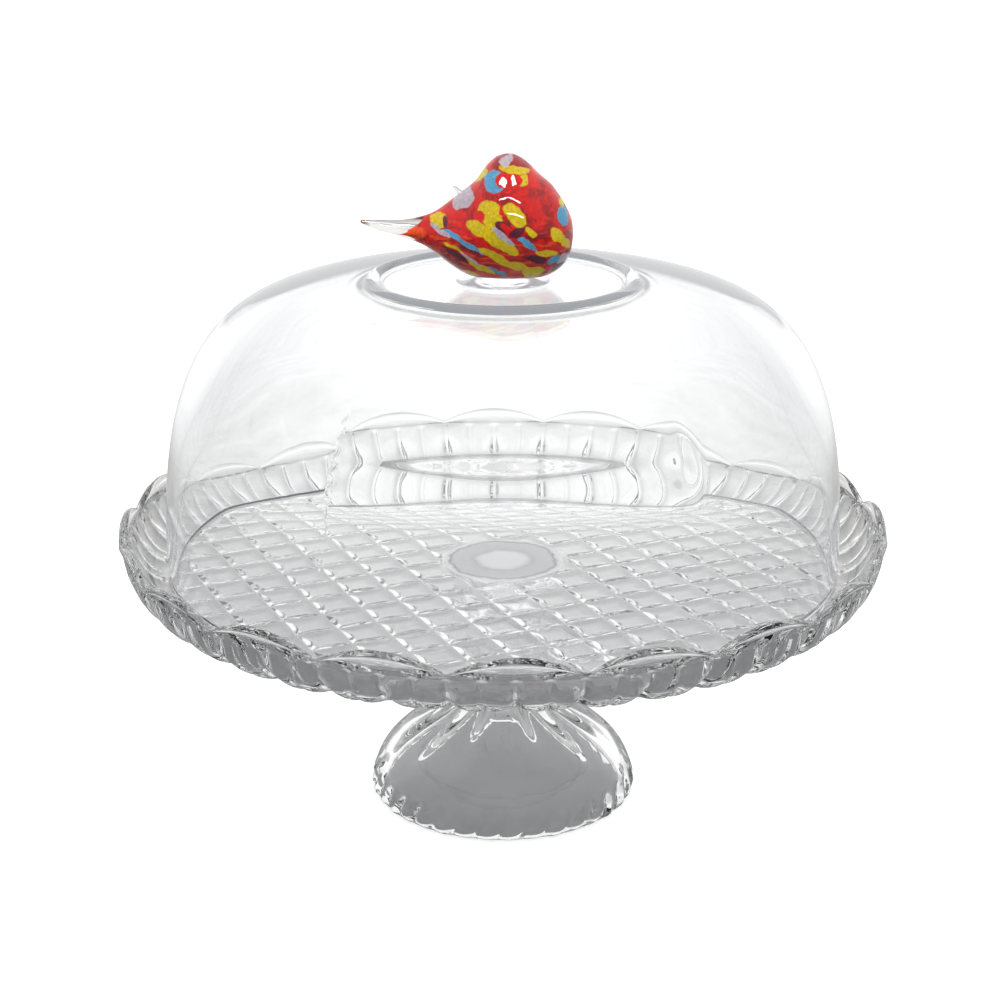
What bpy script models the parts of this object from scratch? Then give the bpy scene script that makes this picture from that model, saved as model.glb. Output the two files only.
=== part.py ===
"""Footed glass cake stand with a lift-off glass dome and a glass bird for its handle.

Metres, +Z up. The origin is on the foot's axis, at the surface that the stand rests on.
-Y is the front, and the bird's tail points along -X.
"""

import math

import bmesh
import bpy
from mathutils import Vector

MM = 0.001
GAP = 0.3 * MM                     # air left between touching pieces
MERGE = 0.01 * MM

# Plate
PLATE_RADIUS = 152.5 * MM          # to the tips of the scallops: a 12 inch plate
FLOOR_Z = 101.0 * MM               # the surface that the cake stands on
FLOOR_THICK = 6.0 * MM
SEAT_RADIUS = 136.0 * MM           # the floor ends here and the rim starts to rise
RIM_TOP_Z = 120.4 * MM             # the crest of a scallop
RIM_DIP_Z = 114.0 * MM             # the notch between two scallops
RIM_BEND_Z = 104.0 * MM            # below this height the rim is a plain turned shape
LIP_WIDTH = 3.6 * MM
SCALLOPS = 20
STEPS_PER_SCALLOP = 4
NOTCH_TURN = math.radians(-7.4)    # the angle from +X to one notch

# Foot, a hollow stem on a bell-shaped skirt
HEAD_RADIUS = 22.5 * MM            # the stem's head, under the plate
HEAD_HEIGHT = 26.0 * MM            # the length over which the head narrows to the stem
BOND_THICK = 0.3 * MM
FOOT_TOP_Z = FLOOR_Z - FLOOR_THICK - BOND_THICK - 2 * GAP
STEM_RADIUS = 15.5 * MM
STEM_WALL = 5.5 * MM
STEM_BOTTOM_Z = 49.0 * MM
WAIST_Z = 34.0 * MM                # the stem's curve turns outward towards this height
SKIRT_RADIUS = 54.7 * MM
SKIRT_WALL = 5.0 * MM
SKIRT_EDGE_Z = 5.0 * MM            # the height at which the skirt is widest
REST_WIDTH = 3.2 * MM              # the flat ring that the stand rests on
FOOT_STEPS = 48

# Dome
DOME_RADIUS = 133.8 * MM
DOME_WALL = 3.0 * MM
DOME_BASE_Z = FLOOR_Z + GAP
DOME_BEND_Z = 112.0 * MM           # the side wall is upright below this height
SHOULDER_Z = 213.2 * MM            # where the shoulder's curve ends, outside the bead
CROWN_Z = 214.2 * MM               # the flat crown inside the bead
BEAD_RADIUS = 50.7 * MM            # the raised bead round the crown, at its crest
BEAD_SECTION = 3.3 * MM
BEAD_BASE_Z = 213.5 * MM
DOME_STEPS = 48
WALL_STEPS = 9

# Finial: a clear pad, and a bird of coloured glass cased in clear glass
PAD_RADIUS = 18.5 * MM
PAD_TOP_RADIUS = 9.5 * MM
PAD_THICK = 2.2 * MM
PAD_EDGE_THICK = 0.7 * MM
CASE_WALL = 1.3 * MM
CORE_TAIL_X = -41.3 * MM           # the coloured glass ends inside the tail
CORE_TAPER = 13.0 * MM             # it thins to a point over this length
CORE_TAIL_DROP = 1.5 * MM          # and the point lies low in the tail
HEAD_NARROWING = 0.22
BASE_HOLE_RADIUS = 6.0 * MM        # the ground patch where the bird was cut from its rod
NUB_AT = (-14.5 * MM, 6.0 * MM, 28.5 * MM)  # the small pinched beak, on the far side
NUB_TIP = (-18.8 * MM, 8.0 * MM, 32.6 * MM)
NUB_RADIUS = 2.2 * MM
NUB_TIP_RADIUS = 0.8 * MM
BIRD_SEGMENTS = 24
BIRD_RINGS = 24
RINGS_CROWD = 1.6                  # packs the rings closer together towards the breast
# The bird's side outline from tail to breast: along X, underside, top, half its depth
BIRD_STATIONS = [
    (-54.8, 20.2, 21.4, 0.7),
    (-48.2, 17.4, 21.3, 2.2),
    (-40.0, 15.1, 21.3, 3.6),
    (-32.0, 12.3, 22.6, 5.8),
    (-26.2, 8.9, 24.7, 8.9),
    (-21.0, 4.8, 28.4, 12.4),
    (-15.5, 1.2, 32.7, 15.6),
    (-10.7, -1.0, 36.5, 18.0),
    (-6.8, -2.0, 41.9, 19.6),
    (-2.1, -2.4, 46.0, 20.8),
    (3.0, -2.5, 46.9, 21.4),
    (8.4, -2.2, 44.3, 21.2),
    (14.1, -1.2, 38.9, 19.4),
    (18.4, 0.6, 35.2, 16.8),
    (21.8, 2.8, 30.7, 13.6),
    (24.4, 5.7, 26.2, 9.8),
    (26.4, 10.8, 21.4, 5.0),
    (27.0, 15.0, 17.5, 1.5),
]

PAD_Z = CROWN_Z + GAP
BIRD_Z = PAD_Z + PAD_THICK + GAP

CLEAR = (0.93, 0.95, 0.96, 1.0)


def new_collection(name):
    collection = bpy.data.collections.new(name)
    bpy.context.scene.collection.children.link(collection)
    return collection


def glass(name, color, roughness, transmission=1.0):
    material = bpy.data.materials.new(name)
    material.use_nodes = True
    shader = material.node_tree.nodes["Principled BSDF"]
    shader.inputs["Base Color"].default_value = color
    shader.inputs["Roughness"].default_value = roughness
    shader.inputs["Metallic"].default_value = 0.0
    shader.inputs["IOR"].default_value = 1.5
    shader.inputs["Transmission Weight"].default_value = transmission
    material.diffuse_color = color
    return material


def add_part(name, mesh, material, collection):
    part = bpy.data.objects.new(name, mesh)
    mesh.materials.clear()
    mesh.materials.append(material)
    collection.objects.link(part)
    return part


def turned(name, profile, steps, material, collection):
    """Turns (radius, height) points about Z. They run down the outer side, top to bottom."""
    mesh = bpy.data.meshes.new(name)
    points = [(radius, 0.0, height) for radius, height in profile]
    mesh.from_pydata(points, [(i, i + 1) for i in range(len(points) - 1)], [])
    part = add_part(name, mesh, material, collection)
    turn = part.modifiers.new("Turn", "SCREW")
    turn.steps = steps
    turn.render_steps = steps
    turn.use_merge_vertices = True
    turn.merge_threshold = MERGE
    turn.use_smooth_shade = True
    return part


def bake_modifiers(part):
    """Replaces a part's mesh by its evaluated mesh, so that its points can be moved."""
    graph = bpy.context.evaluated_depsgraph_get()
    mesh = bpy.data.meshes.new_from_object(part.evaluated_get(graph))
    part.modifiers.clear()
    old = part.data
    part.data = mesh
    bpy.data.meshes.remove(old)
    mesh.name = part.name


def shade_by_angle(part, degrees):
    part.data.shade_smooth()
    part.data.set_sharp_from_angle(angle=math.radians(degrees))


def arc(center, radius, start, end, steps):
    """Points (radius, height) on a circle arc; the angles are in degrees from outward."""
    points = []
    for i in range(steps + 1):
        angle = math.radians(start + (end - start) * i / steps)
        points.append((center[0] + radius * math.cos(angle), center[1] + radius * math.sin(angle)))
    return points


def bezier(start, pull_start, pull_end, end, steps):
    points = []
    for i in range(steps + 1):
        t = i / steps
        weights = ((1 - t) ** 3, 3 * (1 - t) ** 2 * t, 3 * (1 - t) * t * t, t ** 3)
        corners = (start, pull_start, pull_end, end)
        points.append(tuple(sum(w * c[axis] for w, c in zip(weights, corners)) for axis in (0, 1)))
    return points


def plate_profile():
    under_z = FLOOR_Z - FLOOR_THICK
    lip_in = PLATE_RADIUS - LIP_WIDTH
    inner = bezier((SEAT_RADIUS, FLOOR_Z), (SEAT_RADIUS + 6 * MM, FLOOR_Z),
                   (lip_in - 3 * MM, RIM_TOP_Z - 8 * MM), (lip_in, RIM_TOP_Z - 0.4 * MM), 4)
    outer = bezier((PLATE_RADIUS, RIM_TOP_Z - 0.6 * MM), (PLATE_RADIUS - 3 * MM, RIM_TOP_Z - 14 * MM),
                   (PLATE_RADIUS - 6 * MM, under_z + 4 * MM), (PLATE_RADIUS - 14 * MM, under_z), 4)
    crest = (PLATE_RADIUS - LIP_WIDTH / 2, RIM_TOP_Z)
    return [(0, FLOOR_Z)] + inner + [crest] + outer + [(0, under_z)]


def scallop_lift(angle):
    """1 at the crest of a scallop and 0 in the notch between two."""
    phase = angle * SCALLOPS / math.tau
    across = 2 * (phase - math.floor(phase)) - 1
    return 1 - across * across


def make_plate(collection):
    clear = glass("plate_glass", CLEAR, 0.02)
    plate = turned("plate", plate_profile(), SCALLOPS * STEPS_PER_SCALLOP, clear, collection)
    bake_modifiers(plate)
    dip = (RIM_DIP_Z - RIM_BEND_Z) / (RIM_TOP_Z - RIM_BEND_Z)
    for vertex in plate.data.vertices:
        above = vertex.co.z - RIM_BEND_Z
        if above > 0:
            lift = scallop_lift(math.atan2(vertex.co.y, vertex.co.x))
            vertex.co.z = RIM_BEND_Z + above * (dip + (1 - dip) * lift)
    plate.rotation_euler.z = NOTCH_TURN
    shade_by_angle(plate, 40)


def foot_profile():
    bore = STEM_RADIUS - STEM_WALL
    head = bezier((HEAD_RADIUS, FOOT_TOP_Z), (HEAD_RADIUS - 1 * MM, FOOT_TOP_Z - HEAD_HEIGHT / 3),
                  (STEM_RADIUS, FOOT_TOP_Z - HEAD_HEIGHT * 0.6), (STEM_RADIUS, FOOT_TOP_Z - HEAD_HEIGHT), 4)
    skirt = bezier((STEM_RADIUS, STEM_BOTTOM_Z), (STEM_RADIUS + 4 * MM, WAIST_Z),
                   (SKIRT_RADIUS - 6.6 * MM, WAIST_Z - 3.6 * MM), (SKIRT_RADIUS, SKIRT_EDGE_Z), 8)
    rest = SKIRT_RADIUS - 2.3 * MM
    edge = [(SKIRT_RADIUS - 0.7 * MM, 1.8 * MM), (rest, 0.0)]
    hollow = bezier((rest - REST_WIDTH, 0.0), (SKIRT_RADIUS - SKIRT_WALL - 6.6 * MM, WAIST_Z - 9 * MM),
                    (bore + 4 * MM, WAIST_Z - 6 * MM), (bore, STEM_BOTTOM_Z - SKIRT_WALL), 6)
    roof_z = FOOT_TOP_Z - STEM_WALL
    roof = arc((bore - 4 * MM, roof_z - 4 * MM), 4 * MM, 0, 90, 2)
    return [(0, FOOT_TOP_Z)] + head + skirt + edge + hollow + roof + [(0, roof_z)]


def make_foot(collection):
    turned("foot", foot_profile(), FOOT_STEPS, glass("foot_glass", CLEAR, 0.02), collection)


def make_bond(collection):
    """The film of clear adhesive that holds the foot under the plate."""
    top = FLOOR_Z - FLOOR_THICK - GAP
    edge = HEAD_RADIUS - 1 * MM
    profile = [(0, top), (edge, top), (edge, top - BOND_THICK), (0, top - BOND_THICK)]
    adhesive = glass("adhesive", (0.95, 0.95, 0.92, 1.0), 0.1)
    turned("foot_bond", profile, FOOT_STEPS // 2, adhesive, collection)


def dome_wall(inset):
    """The shoulder and side of the dome, down to its rim, moved in by inset."""
    edge = DOME_RADIUS - inset
    top = SHOULDER_Z - inset
    wall = bezier((BEAD_RADIUS + BEAD_SECTION + 2 * MM, top), (93.8 * MM - inset / 2, top - 1.4 * MM),
                  (edge, top - 2.8 * MM), (edge, DOME_BEND_Z), WALL_STEPS)
    return wall + [(edge, DOME_BASE_Z)]


def make_dome(collection):
    bead = arc((BEAD_RADIUS, BEAD_BASE_Z), BEAD_SECTION, 168, 12, 6)
    crown_edge = (BEAD_RADIUS - BEAD_SECTION - 1 * MM, CROWN_Z)
    outside = [(0, CROWN_Z), crown_edge] + bead + dome_wall(0.0)
    ceiling_z = CROWN_Z - DOME_WALL
    inside = dome_wall(DOME_WALL)[::-1] + [(crown_edge[0], ceiling_z), (0, ceiling_z)]
    turned("dome", outside + inside, DOME_STEPS, glass("dome_glass", CLEAR, 0.01), collection)


def make_pad(collection):
    top = PAD_Z + PAD_THICK
    profile = [(0, top), (PAD_TOP_RADIUS, top), ((PAD_TOP_RADIUS + PAD_RADIUS) / 2, top - 0.9 * MM),
               (PAD_RADIUS, PAD_Z + PAD_EDGE_THICK), (PAD_RADIUS, PAD_Z), (0, PAD_Z)]
    turned("finial_pad", profile, FOOT_STEPS // 2, glass("pad_glass", CLEAR, 0.03), collection)


def station_at(x):
    """The bird's underside, top and half depth at x, between two stations."""
    x = min(max(x / MM, BIRD_STATIONS[0][0]), BIRD_STATIONS[-1][0])
    near, far = next(pair for pair in zip(BIRD_STATIONS, BIRD_STATIONS[1:]) if x <= pair[1][0])
    t = (x - near[0]) / (far[0] - near[0])
    return [(near[i] + (far[i] - near[i]) * t) * MM for i in (1, 2, 3)]


def bird_form(name, first_x, last_x, inset, taper, material, collection):
    """A sphere whose poles lie along X, drawn out to the bird's outline less an inset.

    It thins to a point over the taper's length from first_x, and is flat underneath.
    """
    mesh = bpy.data.meshes.new(name)
    form = bmesh.new()
    bmesh.ops.create_uvsphere(form, u_segments=BIRD_SEGMENTS, v_segments=BIRD_RINGS, radius=1.0)
    for vertex in form.verts:
        pole_to_pole = 0.5 + math.asin(max(-1.0, min(1.0, vertex.co.z))) / math.pi
        x = last_x - (last_x - first_x) * (1 - pole_to_pole) ** RINGS_CROWD
        low, high, depth = station_at(x)
        fullness = min(1.0, max(0.0, (x - first_x) / taper)) ** 1.8 if taper else 1.0
        half_height = max((high - low) / 2 - inset, 0.1 * MM) * fullness
        half_depth = max(depth - inset, 0.1 * MM) * fullness
        if pole_to_pole < 0.001 or pole_to_pole > 0.999:
            half_height = half_depth = 0.0
        turn = math.atan2(vertex.co.y, vertex.co.x)
        up, across = math.sin(turn), math.cos(turn) * (1 - HEAD_NARROWING * max(math.sin(turn), 0.0))
        middle = (low + high) / 2 - (1 - fullness) * CORE_TAIL_DROP
        vertex.co = Vector((x, half_depth * across, max(middle + half_height * up, inset)))
    form.to_mesh(mesh)
    form.free()
    return add_part(name, mesh, material, collection)


def use_as_cutter(cutter):
    cutter.hide_render = True
    cutter.display_type = "WIRE"


def add_boolean(part, tool, operation):
    boolean = part.modifiers.new(tool.name, "BOOLEAN")
    boolean.operation = operation
    boolean.solver = "EXACT"
    boolean.object = tool
    use_as_cutter(tool)


def add_cone(name, bottom_radius, top_radius, height, material, collection):
    mesh = bpy.data.meshes.new(name)
    form = bmesh.new()
    bmesh.ops.create_cone(form, cap_ends=True, segments=16, radius1=bottom_radius,
                          radius2=top_radius, depth=height)
    form.to_mesh(mesh)
    form.free()
    return add_part(name, mesh, material, collection)


def make_bird(parts, cutters):
    """The coloured core, and the clear glass gathered over it, on one upright empty."""
    perch = bpy.data.objects.new("perch", None)
    perch.location.z = BIRD_Z
    parts.objects.link(perch)
    first_x, last_x = BIRD_STATIONS[0][0] * MM, BIRD_STATIONS[-1][0] * MM
    clear = glass("casing_glass", CLEAR, 0.01)
    colored = glass("bird_glass", (0.62, 0.03, 0.02, 1.0), 0.1, transmission=0.0)

    casing = bird_form("bird_casing", first_x, last_x, 0.0, 0.0, clear, parts)
    core = bird_form("bird_core", CORE_TAIL_X, last_x - CASE_WALL, CASE_WALL, CORE_TAPER,
                     colored, parts)
    cavity = bird_form("cavity", CORE_TAIL_X - 2 * GAP, last_x - CASE_WALL + GAP, CASE_WALL - GAP,
                       CORE_TAPER, clear, cutters)
    tip = Vector(NUB_TIP) - Vector(NUB_AT)
    nub = add_cone("nub", NUB_RADIUS, NUB_TIP_RADIUS, tip.length, clear, cutters)
    nub.rotation_euler = tip.to_track_quat("Z", "Y").to_euler()
    nub.location = Vector(NUB_AT) + tip / 2
    base_hole = add_cone("base_hole", BASE_HOLE_RADIUS, BASE_HOLE_RADIUS, 4 * MM, clear, cutters)
    for piece in (casing, core, cavity, nub, base_hole):
        piece.parent = perch
    add_boolean(casing, nub, "UNION")
    add_boolean(casing, cavity, "DIFFERENCE")
    add_boolean(casing, base_hole, "DIFFERENCE")
    shade_by_angle(core, 60)


def main():
    for old in list(bpy.data.objects):
        bpy.data.objects.remove(old)
    parts = new_collection("cake_stand_dome")
    cutters = new_collection("cutters")
    make_plate(parts)
    make_foot(parts)
    make_bond(parts)
    make_dome(parts)
    make_pad(parts)
    make_bird(parts, cutters)


main()
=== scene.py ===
# Glass cake stand with a lift-off dome and an art-glass bird for its knob.
# The CAD frame is loaded first; every piece below stands where its CAD node is.
# Shapes are worked out in millimetres and made in metres, and so are the bird's blots and the
# joint's rings. Other materials, the stage, the lamps and the camera are in metres.
# Angles run from +X towards +Y, and the photo's front is -Y.

from math import cos, exp, hypot, pi, radians, sin, tau

import bpy
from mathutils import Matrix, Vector
from mathutils.geometry import delaunay_2d_cdt


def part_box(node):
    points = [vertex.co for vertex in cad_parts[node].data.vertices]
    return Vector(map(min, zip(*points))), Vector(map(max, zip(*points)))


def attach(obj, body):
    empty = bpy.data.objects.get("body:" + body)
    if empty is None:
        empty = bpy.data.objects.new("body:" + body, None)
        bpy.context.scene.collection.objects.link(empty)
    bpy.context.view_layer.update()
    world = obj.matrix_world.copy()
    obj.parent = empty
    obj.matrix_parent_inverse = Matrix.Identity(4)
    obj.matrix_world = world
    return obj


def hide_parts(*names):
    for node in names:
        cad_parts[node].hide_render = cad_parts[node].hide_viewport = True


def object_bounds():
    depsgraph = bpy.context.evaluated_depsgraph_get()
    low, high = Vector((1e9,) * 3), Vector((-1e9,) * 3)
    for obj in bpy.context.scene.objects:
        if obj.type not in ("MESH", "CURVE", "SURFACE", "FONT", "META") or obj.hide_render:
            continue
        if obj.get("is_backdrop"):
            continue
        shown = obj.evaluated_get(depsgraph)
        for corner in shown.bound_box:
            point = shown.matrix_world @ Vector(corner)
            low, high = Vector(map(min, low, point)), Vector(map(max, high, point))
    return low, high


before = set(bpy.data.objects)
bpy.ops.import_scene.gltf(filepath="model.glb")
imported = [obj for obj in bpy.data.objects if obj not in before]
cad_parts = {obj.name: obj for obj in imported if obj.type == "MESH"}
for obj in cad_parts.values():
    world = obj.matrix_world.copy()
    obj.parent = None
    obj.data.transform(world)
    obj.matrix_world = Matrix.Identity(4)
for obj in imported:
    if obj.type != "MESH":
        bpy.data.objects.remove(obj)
CAD_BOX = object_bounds()
MM = 0.001             # one millimetre, in metres


# ------------------------------------------------------------------ helpers


def smooth(low, high, value):
    """0 below low, 1 above high, and an even S curve between."""
    t = min(1.0, max(0.0, (value - low) / (high - low)))
    return t * t * (3.0 - 2.0 * t)


def bezier(points, count):
    """count + 1 points of a cubic Bezier curve from its four control points."""
    found = []
    for k in range(count + 1):
        t = k / count
        s = 1.0 - t
        weights = (s * s * s, 3 * s * s * t, 3 * s * t * t, t * t * t)
        found.append(tuple(sum(w * p[i] for w, p in zip(weights, points)) for i in range(2)))
    return found


def mesh_from(name, vertices, faces):
    """A mesh from points in millimetres."""
    mesh = bpy.data.meshes.new(name)
    mesh.from_pydata([(x * MM, y * MM, z * MM) for x, y, z in vertices], [], faces)
    return mesh


def object_from(name, data):
    """An object in the scene."""
    found = bpy.data.objects.new(name, data)
    bpy.context.scene.collection.objects.link(found)
    return found


def piece_from(name, vertices, faces, body, node, slot):
    """A smooth piece that rides on a body and replaces a CAD node."""
    mesh = mesh_from(name, vertices, faces)
    mesh.validate()
    mesh.update()
    mesh.shade_smooth()
    piece = object_from(name, mesh)
    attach(piece, body)
    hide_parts(node)
    return piece


def ring_faces(first, count):
    """Quads from the ring of count vertices that starts at first to the ring after it."""
    faces = []
    for k in range(count):
        n = (k + 1) % count
        faces.append((first + k, first + count + k, first + count + n, first + n))
    return faces


def closed_faces(vertices, rings, count, poles):
    """Faces over a stack of rings, closed by a fan to a pole at each end; adds the two poles."""
    faces = []
    for i in range(rings - 1):
        faces += ring_faces(i * count, count)
    first = len(vertices)
    base = (rings - 1) * count
    vertices += poles
    for k in range(count):
        n = (k + 1) % count
        faces.append((first, k, n))
        faces.append((base + k, first + 1, base + n))
    return faces


def ring_normals(rings):
    """The outward normal (across, up) of a turned profile at each of its rings."""
    normals = []
    for k in range(len(rings)):
        before = rings[max(0, k - 1)]
        after = rings[min(len(rings) - 1, k + 1)]
        dr = after[0] - before[0]
        dz = after[1] - before[1]
        size = max(1e-6, hypot(dr, dz))
        normals.append((-dz / size, dr / size))
    return normals


def turned_piece(name, rings, place, count, poles, body, node, slot):
    """A closed turned form; its profile runs from the first pole to the last, outside first.

    place(ring, normal, angle) gives each point of a ring."""
    vertices = []
    for ring, normal in zip(rings, ring_normals(rings)):
        for k in range(count):
            vertices.append(place(ring, normal, tau * k / count))
    faces = closed_faces(vertices, len(rings), count, poles)
    return piece_from(name, vertices, faces, body, node, slot)


def unit_noise(x, y, z, seed):
    """Smooth wavy noise in about -1 to 1, from a few crossed sines."""
    a = sin(1.7 * x + 2.3 * y + seed) + sin(2.9 * y - 1.3 * z + 1.9 * seed)
    b = sin(1.1 * z + 2.1 * x - 0.7 * seed) + sin(3.7 * x - 2.6 * y + 0.9 * z + 2.7 * seed)
    return 0.25 * (a + b)


def box_mm(node):
    """A CAD node's lowest and highest corner, in millimetres."""
    low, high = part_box(node)
    return low / MM, high / MM


# ---------------------------------------------------------------- materials


class Nodes:
    """Short names for building one node tree, a material's or the world's.

    Where a value goes into a socket, it is either a number or colour, or a socket to link from."""

    def __init__(self, tree, output):
        self.tree = tree
        self.tree.nodes.clear()
        self.output = self.add(output)

    def add(self, kind, **values):
        node = self.tree.nodes.new(kind)
        for key, value in values.items():
            setattr(node, key, value)
        return node

    def feed(self, target, value):
        if isinstance(value, bpy.types.NodeSocket):
            self.tree.links.new(value, target)
        else:
            target.default_value = value

    def fill(self, node, **values):
        """Feeds named sockets; an underscore stands for a space in a name."""
        for key, value in values.items():
            self.feed(node.inputs[key.replace("_", " ")], value)

    def finish(self, shader_output):
        self.feed(self.output.inputs["Surface"], shader_output)

    def object_place(self):
        """Coordinates in metres from the frame's origin."""
        return self.add("ShaderNodeTexCoord").outputs["Object"]

    def place(self, scale=1.0):
        node = self.add("ShaderNodeMapping")
        self.fill(node, Vector=self.object_place(), Scale=(scale, scale, scale))
        return node.outputs["Vector"]

    def split(self, vector):
        node = self.add("ShaderNodeSeparateXYZ")
        self.fill(node, Vector=vector)
        return [node.outputs[axis] for axis in ("X", "Y", "Z")]

    def join(self, *values):
        node = self.add("ShaderNodeCombineXYZ")
        for axis, value in zip(("X", "Y", "Z"), values):
            self.feed(node.inputs[axis], value)
        return node.outputs["Vector"]

    def math(self, operation, *values):
        node = self.add("ShaderNodeMath", operation=operation)
        for socket, value in zip(node.inputs, values):
            self.feed(socket, value)
        return node.outputs["Value"]

    def vector(self, operation, *values):
        node = self.add("ShaderNodeVectorMath", operation=operation)
        for socket, value in zip(node.inputs, values):
            self.feed(socket, value)
        return node.outputs["Value" if operation == "LENGTH" else "Vector"]

    def scaled(self, vector, scale):
        node = self.add("ShaderNodeVectorMath", operation="SCALE")
        self.fill(node, Vector=vector, Scale=scale)
        return node.outputs["Vector"]

    def noise(self, vector, scale, detail, rough):
        node = self.add("ShaderNodeTexNoise")
        self.fill(node, Vector=vector, Scale=scale, Detail=detail, Roughness=rough)
        return node

    def span(self, value, from_low, from_high, to_low, to_high, curve="LINEAR"):
        node = self.add("ShaderNodeMapRange", interpolation_type=curve)
        self.fill(node, Value=value, From_Min=from_low, From_Max=from_high)
        self.fill(node, To_Min=to_low, To_Max=to_high)
        return node.outputs["Result"]

    def mix(self, factor, first, second, kind="RGBA"):
        node = self.add("ShaderNodeMix", data_type=kind)
        self.fill(node, Factor=factor, A=first, B=second)
        return node.outputs["Result"]

    def ramp(self, value, stops):
        """A color ramp through its stops, each a position and a color."""
        node = self.add("ShaderNodeValToRGB")
        elements = node.color_ramp.elements
        elements[0].position, elements[0].color = stops[0]
        elements[1].position, elements[1].color = stops[-1]
        for position, color in stops[1:-1]:
            elements.new(position).color = color
        self.fill(node, Fac=value)
        return node.outputs["Color"]

    def bump(self, height, strength, distance):
        node = self.add("ShaderNodeBump")
        self.fill(node, Height=height, Strength=strength, Distance=distance)
        return node.outputs["Normal"]

    def for_camera(self, seen, lit):
        """One shader for what the camera sees directly and another for all other light."""
        path = self.add("ShaderNodeLightPath")
        node = self.add("ShaderNodeMixShader")
        values = (path.outputs["Is Camera Ray"], lit, seen)
        for socket, value in zip(node.inputs, values):
            self.feed(socket, value)
        return node.outputs["Shader"]


def new_material(name):
    """An empty node material, and its nodes."""
    material = bpy.data.materials.new(name)
    material.use_nodes = True
    return material, Nodes(material.node_tree, "ShaderNodeOutputMaterial")


def grey_color(value):
    return (value, value, value, 1.0)


def clear_glass(name, tint, ior, wave_scale, wave_depth, rough_high, painted_glow=0.0):
    """Clear glass: slow waviness in its skin, patches of faint haze, a tint and an even painted glow
    that stands in for scattered light.
    """
    material, n = new_material(name)
    shader = n.add("ShaderNodeBsdfPrincipled")
    place = n.place()
    wave = n.noise(place, wave_scale, 1.5, 0.45).outputs["Fac"]
    haze = n.noise(place, 55.0, 3.0, 0.6).outputs["Fac"]
    n.fill(shader, Base_Color=(*tint, 1.0), Transmission_Weight=1.0, IOR=ior)
    n.fill(shader, Roughness=n.span(haze, 0.45, 0.75, 0.0, rough_high))
    n.fill(shader, Normal=n.bump(wave, 1.0, wave_depth))
    # painted glow: the glass gives off a faint blue-white light of its own
    n.fill(shader, Emission_Color=(0.90, 0.94, 1.0, 1.0), Emission_Strength=painted_glow)
    n.finish(shader.outputs["BSDF"])
    return material


# -------------------------------------------------------------------- plate

SCALLOPS = 20
SCALLOP_TURN = tau / SCALLOPS
NOTCH = radians(-7.4)  # the angle of one notch between two scallops
RIM_BEND = 112.6       # the ribs' tops; only the crescents above this height are scalloped
RIM_DIP = 114.0        # the height of a notch
AROUND = 960           # points in each ring of the plate

PLATE_LOW, PLATE_HIGH = box_mm("plate")
UNDER = PLATE_LOW.z
FLOOR = UNDER + 6.0
RIM_TOP = PLATE_HIGH.z
LIP = 1.85             # the radius of the rim's rounded lip
LIP_R = 150.6          # and the distance of its middle from the axis

QUILT_R = 133.0
QUILT_TURN = radians(25.0)
QUILT_PITCH = 15.7
QUILT_U = 7.7          # offsets of one groove of each direction from the axis
QUILT_V = 6.7
GROOVE_DEEP = 0.95
GROOVE_HALF = 3.3      # half a groove's width


def plate_rings():
    """(radius, height, rib depth factor, lip factor) from the floor out, over the lip and under.

    The rib factor is negative on the flat underside, where the ribs fade out."""
    rings = [(r, FLOOR, 0.0, 0.0) for r in (24.0, 60.0, 100.0, 125.0, 133.0, 135.0)]
    inside = [(136.0, FLOOR), (142.0, FLOOR), (145.9, RIM_TOP - 8.0), (148.7, RIM_TOP - 2.2)]
    for r, z in bezier(inside, 16):
        rings.append((r, z, 0.0, smooth(112.0, 119.0, z)))
    for k in range(17):
        lean = radians(172.0 - 172.0 * k / 16)
        r = LIP_R + LIP * cos(lean)
        rings.append((r, RIM_TOP - LIP + LIP * sin(lean), 0.0, smooth(152.2, 150.4, r)))
    crescent = [(152.4, RIM_TOP - 2.3), (151.3, 117.0), (150.9, 115.6), (150.8, 113.9)]
    for r, z in bezier(crescent, 8):
        rings.append((r, z, 0.0, 0.0))
    ledge = [(150.82, 113.5), (150.87, 113.2), (150.94, 112.9), (151.0, 112.6)]
    for r, z in bezier(ledge, 5):
        rings.append((r, z, 0.02, 0.0))
    ribbed = [(151.1, 112.3), (150.2, 105.6), (147.2, UNDER + 3.2), (138.5, UNDER)]
    for k, (r, z) in enumerate(bezier(ribbed, 30)):
        rings.append((r, z, 0.03 + 0.97 * k / 30, 0.0))
    for r, fade in ((137.4, 0.7), (136.2, 0.35), (135.0, 0.1), (134.0, 0.0)):
        rings.append((r, UNDER, -fade, 0.0))
    return rings


def rib_depth(angle, down):
    """How deep the ribs' valleys are cut, at an angle and a share of the way down."""
    turn = (angle - NOTCH) / tau
    minor = abs(2 * ((turn * 4 * SCALLOPS) % 1.0) - 1)
    major = abs(2 * ((turn * 2 * SCALLOPS) % 1.0) - 1)
    if down < 0:
        return -down * (0.7 * minor ** 2.2 + 2.5 * major ** 2.4)
    fine = 1.7 * smooth(0.0, 0.10, down) * (1 - 0.5 * smooth(0.7, 1.0, down))
    broad = 2.7 * smooth(0.25, 0.75, down)
    return fine * minor ** 6.0 + broad * major ** 3.0


def plate_point(ring, normal, angle):
    """A point of the plate: cut back by the ribs, and let down towards the notches of the rim."""
    r, z, down, lip = ring
    across = 2 * (((angle - NOTCH) / SCALLOP_TURN) % 1.0) - 1
    lift = 1 - across * across
    r += 1.5 * lip * (1 - lift) ** 1.5
    if down:
        deep = rib_depth(angle, down)
        r -= normal[0] * deep
        z -= normal[1] * deep
    if z > RIM_BEND and ring[1] > RIM_BEND:
        dip = (RIM_DIP - RIM_BEND) / (RIM_TOP - RIM_BEND)
        z = RIM_BEND + (z - RIM_BEND) * (dip + (1 - dip) * lift)
    return (r * cos(angle), r * sin(angle), z)


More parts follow.
